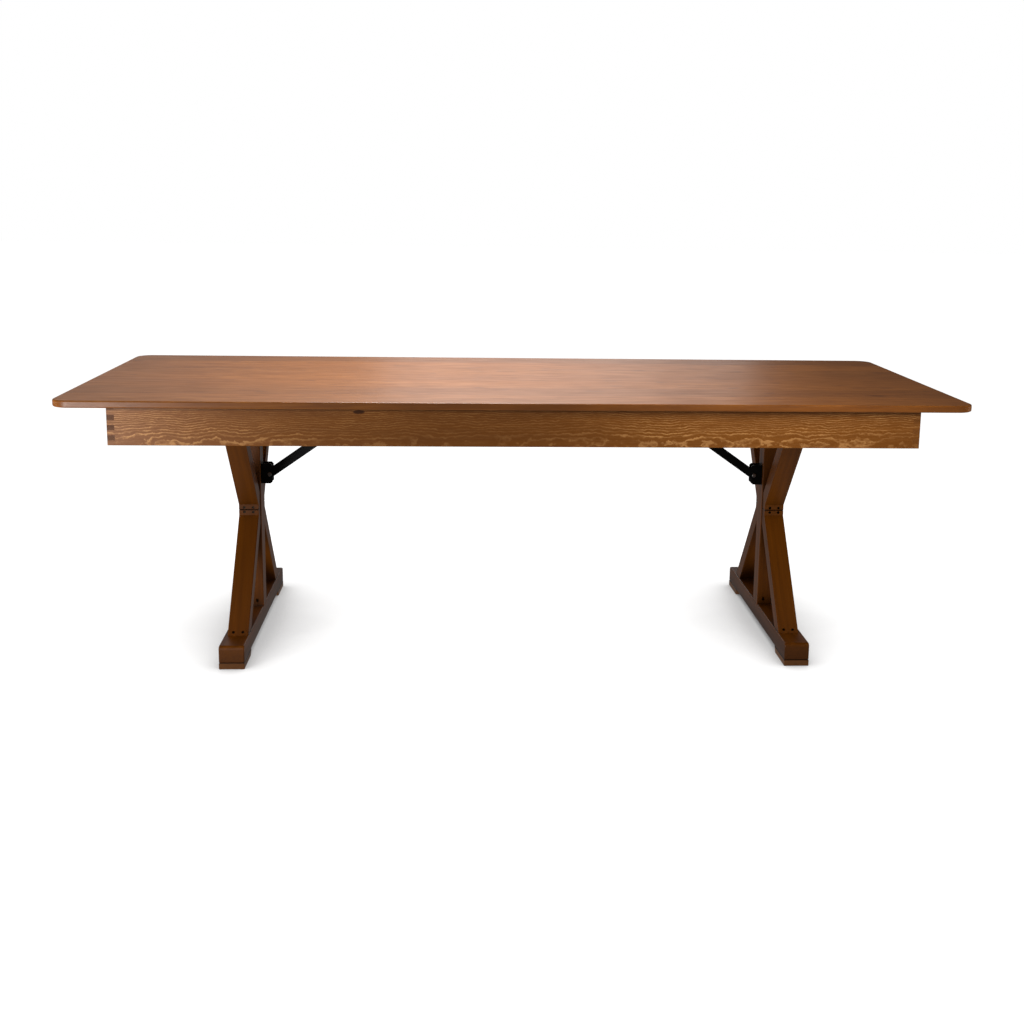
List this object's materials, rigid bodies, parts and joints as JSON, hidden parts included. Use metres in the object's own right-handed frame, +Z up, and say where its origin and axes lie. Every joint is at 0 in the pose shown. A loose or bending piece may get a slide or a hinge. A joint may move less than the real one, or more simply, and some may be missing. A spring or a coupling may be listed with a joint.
{
  "type": "folding trestle table",
  "caption": "Long plank-top dining table on a finger-jointed apron; X-braced trestles fold flat under the top and are propped open by steel struts.",
  "frame": {"origin": "on the floor below the centre of the table", "axes": "+X along the table's length, +Y to the rear long side, +Z up"},
  "size_m": [2.438, 1.016, 0.762],
  "materials": {
    "top_wood": "satin stained pine",
    "apron_wood": "satin stained pine",
    "inner_wood": "stained pine",
    "leg_wood": "dark stained pine",
    "black_steel": "black powder coat",
    "zinc_steel": "zinc plated"
  },
  "bodies": {
    "table": {"catch_screws": "zinc_steel", "centre_batten": "inner_wood", "corner_blocks": "inner_wood", "front_apron": "apron_wood", "front_cleat_strip": "inner_wood", "hinge_fixed_leaves": "zinc_steel", "hinge_pins": "zinc_steel", "left_apron": "apron_wood", "left_catch_front_plate": "black_steel", "left_catch_rear_plate": "black_steel", "left_hinge_cleat": "inner_wood", "left_latch_pin": "zinc_steel", "rear_apron": "apron_wood", "rear_cleat_strip": "inner_wood", "right_apron": "apron_wood", "right_catch_front_plate": "black_steel", "right_catch_rear_plate": "black_steel", "right_hinge_cleat": "inner_wood", "right_latch_pin": "zinc_steel", "top_board_1": "top_wood", "top_board_2": "top_wood", "top_board_3": "top_wood", "top_board_4": "top_wood", "top_board_5": "top_wood", "top_board_6": "top_wood", "top_board_7": "top_wood", "top_screws": "zinc_steel"},
    "left_trestle": {"left_foot": "leg_wood", "left_foot_pads": "leg_wood", "left_post": "leg_wood", "left_lower_front_arm": "leg_wood", "left_lower_rear_arm": "leg_wood", "left_upper_front_arm": "leg_wood", "left_upper_rear_arm": "leg_wood", "left_top_rail": "leg_wood", "left_hinge_moving_leaves": "zinc_steel", "left_strut_bracket": "black_steel", "left_pivot_bolt": "zinc_steel", "left_pivot_nut": "zinc_steel", "left_leg_screws": "zinc_steel"},
    "left_strut_body": {"left_strut": "black_steel", "left_strut_cross_pin": "black_steel"},
    "left_latch_body": {"left_latch": "black_steel"},
    "right_trestle": {"right_foot": "leg_wood", "right_foot_pads": "leg_wood", "right_post": "leg_wood", "right_lower_front_arm": "leg_wood", "right_lower_rear_arm": "leg_wood", "right_upper_front_arm": "leg_wood", "right_upper_rear_arm": "leg_wood", "right_top_rail": "leg_wood", "right_hinge_moving_leaves": "zinc_steel", "right_strut_bracket": "black_steel", "right_pivot_bolt": "zinc_steel", "right_pivot_nut": "zinc_steel", "right_leg_screws": "zinc_steel"},
    "right_strut_body": {"right_strut": "black_steel", "right_strut_cross_pin": "black_steel"},
    "right_latch_body": {"right_latch": "black_steel"}
  },
  "joints": [
    {"name": "left_trestle_fold", "type": "hinge", "parent": "table", "child": "left_trestle", "pos_m": [-0.7495, 0, 0.7085], "axis": [0, -1, 0], "range_deg": [0, 90]},
    {"name": "left_strut_swing", "type": "hinge", "parent": "left_trestle", "child": "left_strut_body", "pos_m": [-0.73, 0, 0.47], "axis": [0, 1, 0], "range_deg": [0, 125.1]},
    {"name": "left_latch_lift", "type": "hinge", "parent": "table", "child": "left_latch_body", "pos_m": [-0.33639, -0.022, 0.732], "axis": [0, 1, 0], "range_deg": [0, 10]},
    {"name": "right_trestle_fold", "type": "hinge", "parent": "table", "child": "right_trestle", "pos_m": [0.7495, 0, 0.7085], "axis": [0, 1, 0], "range_deg": [0, 90]},
    {"name": "right_strut_swing", "type": "hinge", "parent": "right_trestle", "child": "right_strut_body", "pos_m": [0.73, 0, 0.47], "axis": [0, -1, 0], "range_deg": [0, 125.1]},
    {"name": "right_latch_lift", "type": "hinge", "parent": "table", "child": "right_latch_body", "pos_m": [0.33639, -0.022, 0.732], "axis": [0, -1, 0], "range_deg": [0, 10]}
  ],
  "couplings": [
    {"joint": "left_strut_swing", "follows": "left_trestle_fold", "ratio": 1.3889},
    {"joint": "right_strut_swing", "follows": "right_trestle_fold", "ratio": 1.3889}
  ]
}
